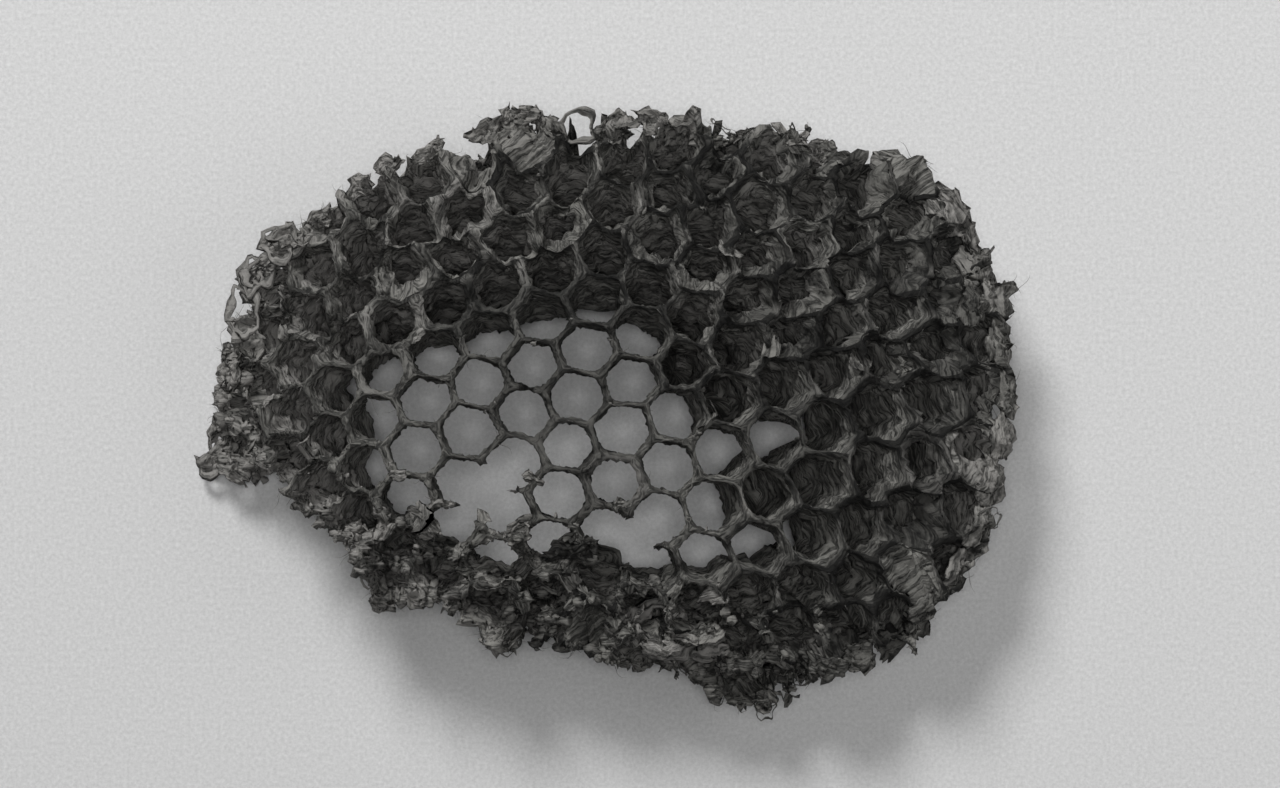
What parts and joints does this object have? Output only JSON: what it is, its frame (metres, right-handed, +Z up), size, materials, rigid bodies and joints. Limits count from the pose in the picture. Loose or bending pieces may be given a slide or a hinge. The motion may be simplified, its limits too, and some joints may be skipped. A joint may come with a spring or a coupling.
{
  "type": "paper wasp nest",
  "caption": "Grey paper comb of six-sided cells that fan out from a worn, see-through middle, lying on its back on closed cell ends.",
  "frame": {"origin": "under the middle of the comb, at the level of its lowest closed cell ends", "axes": "+X along the long way of the comb, +Y across it, +Z up through the open cell mouths"},
  "size_m": [0.1002, 0.074, 0.0185],
  "materials": {
    "comb_paper": "matt weathered wood-pulp paper"
  },
  "bodies": {
    "root": {"comb": "comb_paper"}
  },
  "joints": []
}
